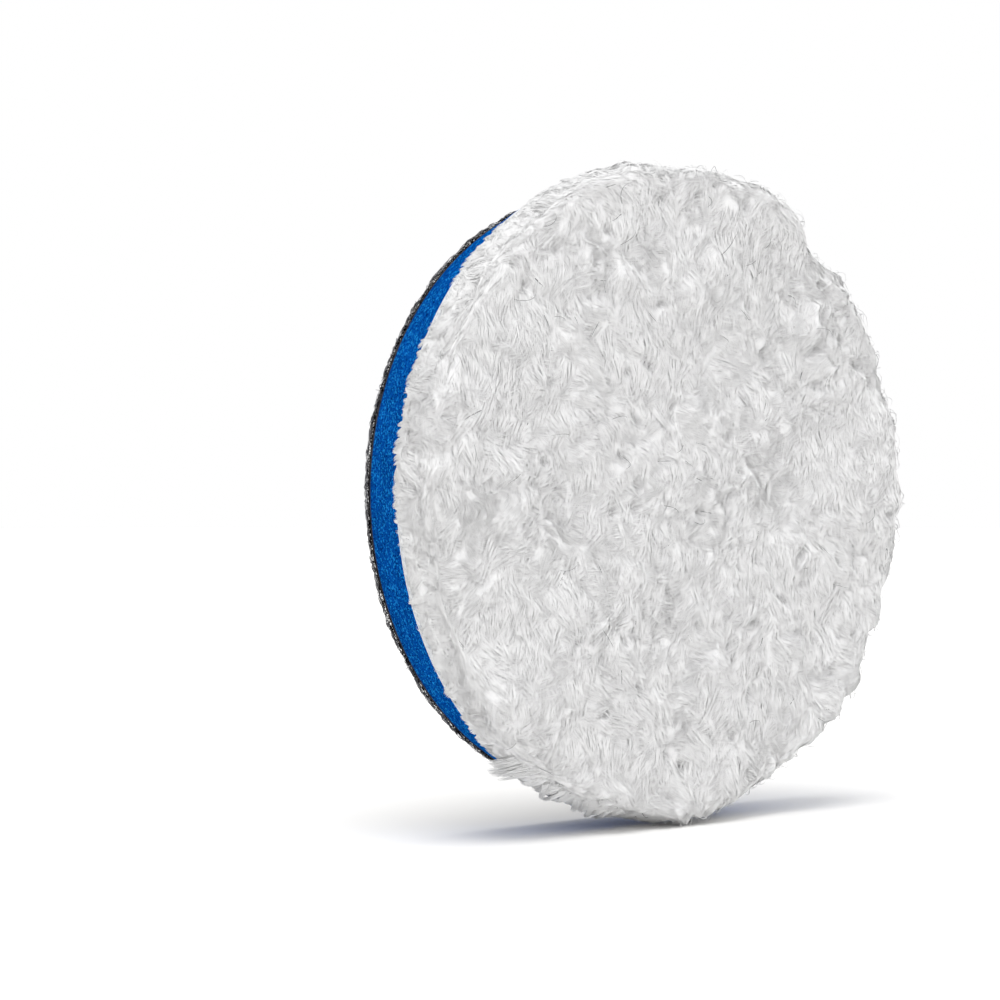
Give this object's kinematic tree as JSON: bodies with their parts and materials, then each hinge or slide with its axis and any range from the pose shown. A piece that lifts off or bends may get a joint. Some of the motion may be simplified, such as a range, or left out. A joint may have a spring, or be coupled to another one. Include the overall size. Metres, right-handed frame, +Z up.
{
  "type": "polishing pad",
  "caption": "Round hook-and-loop polishing pad: black loop backing, blue foam interface and a white fibre pile face, turned by a machine polisher to cut and finish paintwork.",
  "frame": {"origin": "centre of the loop face, in its outer plane", "axes": "+Y out of the loop face along the pad's spin axis, +Z up with the pad standing on its rim, +X to the right seen from the pile side"},
  "size_m": [0.1532, 0.0294, 0.1532],
  "materials": {
    "loop_black": "brushed nylon loops, matte with a faint sheen",
    "loop_cloth_black": "warp-knit nylon, matte",
    "bond_film": "melted adhesive film, translucent and satin",
    "foam_blue": "open-cell polyurethane foam, matte with fine glinting cell walls",
    "pile_cloth_white": "knitted polyester ground, matte",
    "pile_white": "soft matted fibre pile with a silky sheen"
  },
  "bodies": {
    "backing": {"loop_pile": "loop_black", "loop_cloth": "loop_cloth_black", "rear_bond_film": "bond_film", "foam_core": "foam_blue"},
    "face": {"front_bond_film": "bond_film", "pile_cloth": "pile_cloth_white", "fibre_pile": "pile_white"}
  },
  "joints": [
    {"name": "foam_compression", "type": "slide", "parent": "backing", "child": "face", "axis": [0, 1, 0], "range_m": [0, 0.006], "stiffness_N_per_m": 8000, "deforming": ["foam_core"]}
  ]
}
